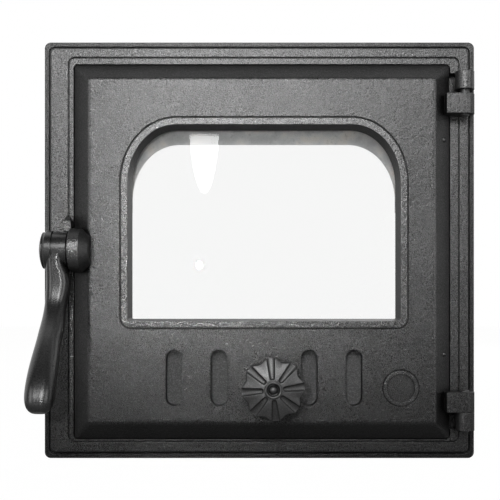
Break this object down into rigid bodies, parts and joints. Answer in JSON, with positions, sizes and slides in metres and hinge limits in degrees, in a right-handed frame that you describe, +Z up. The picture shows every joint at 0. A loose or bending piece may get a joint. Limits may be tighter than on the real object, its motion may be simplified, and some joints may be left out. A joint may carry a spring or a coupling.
{
  "type": "stove door",
  "caption": "Cast-iron stove door hinged in its frame, with an arched glass window, air slots behind a sliding damper with a fluted knob, and a swept latch handle.",
  "frame": {"origin": "centre of the frame's flange, on the flange's back plane, where the four tapped fixing holes' pattern has its centre", "axes": "+X to the hinge side as seen from the room, +Z up, +Y into the stove (the front faces -Y)"},
  "size_m": [0.285, 0.1058, 0.276],
  "materials": {
    "cast_iron_black": "graphite-black heat-resistant paint on a fine sand-cast skin, semi-matte",
    "blackened_steel": "blackened steel, satin",
    "aluminised_steel": "aluminised steel sheet, satin, faintly tinted by heat",
    "ceramic_rope": "knitted ceramic-fibre rope, grey, matte",
    "ceramic_glass": "clear heat-resistant ceramic glass, polished"
  },
  "bodies": {
    "frame": {"surround_frame": "cast_iron_black", "hinge_pin_upper": "blackened_steel", "hinge_pin_lower": "blackened_steel"},
    "door": {"door_leaf": "cast_iron_black", "door_seal_rope": "ceramic_rope", "glass_pane": "ceramic_glass", "glass_gasket": "ceramic_rope", "glass_clip_1": "aluminised_steel", "glass_clip_2": "aluminised_steel", "glass_clip_3": "aluminised_steel", "glass_clip_4": "aluminised_steel", "glass_clip_screws": "blackened_steel", "air_wash_deflector": "aluminised_steel", "deflector_screws": "blackened_steel", "damper_guide_upper": "blackened_steel", "damper_guide_lower": "blackened_steel", "damper_guide_screws": "blackened_steel", "handle_pivot_bolt": "blackened_steel", "handle_washer": "blackened_steel"},
    "damper": {"damper_plate": "blackened_steel", "damper_stud": "blackened_steel", "knob_washer": "blackened_steel"},
    "knob": {"damper_knob": "cast_iron_black"},
    "handle": {"latch_handle": "cast_iron_black"}
  },
  "joints": [
    {"name": "door_hinge", "type": "hinge", "parent": "frame", "child": "door", "pos_m": [0.1342, -0.014, 0], "axis": [0, 0, 1], "range_deg": [0, 110]},
    {"name": "handle_pivot", "type": "hinge", "parent": "door", "child": "handle", "pos_m": [-0.131, -0.0205, -0.001], "axis": [-1, 0, 0], "range_deg": [0, 90]},
    {"name": "damper_slide", "type": "slide", "parent": "door", "child": "damper", "axis": [-1, 0, 0], "range_m": [0, 0.013]},
    {"name": "knob_turn", "type": "hinge", "parent": "damper", "child": "knob", "pos_m": [0.0084, -0.03, -0.08865], "axis": [0, -1, 0], "range_deg": [-180, 180]}
  ]
}
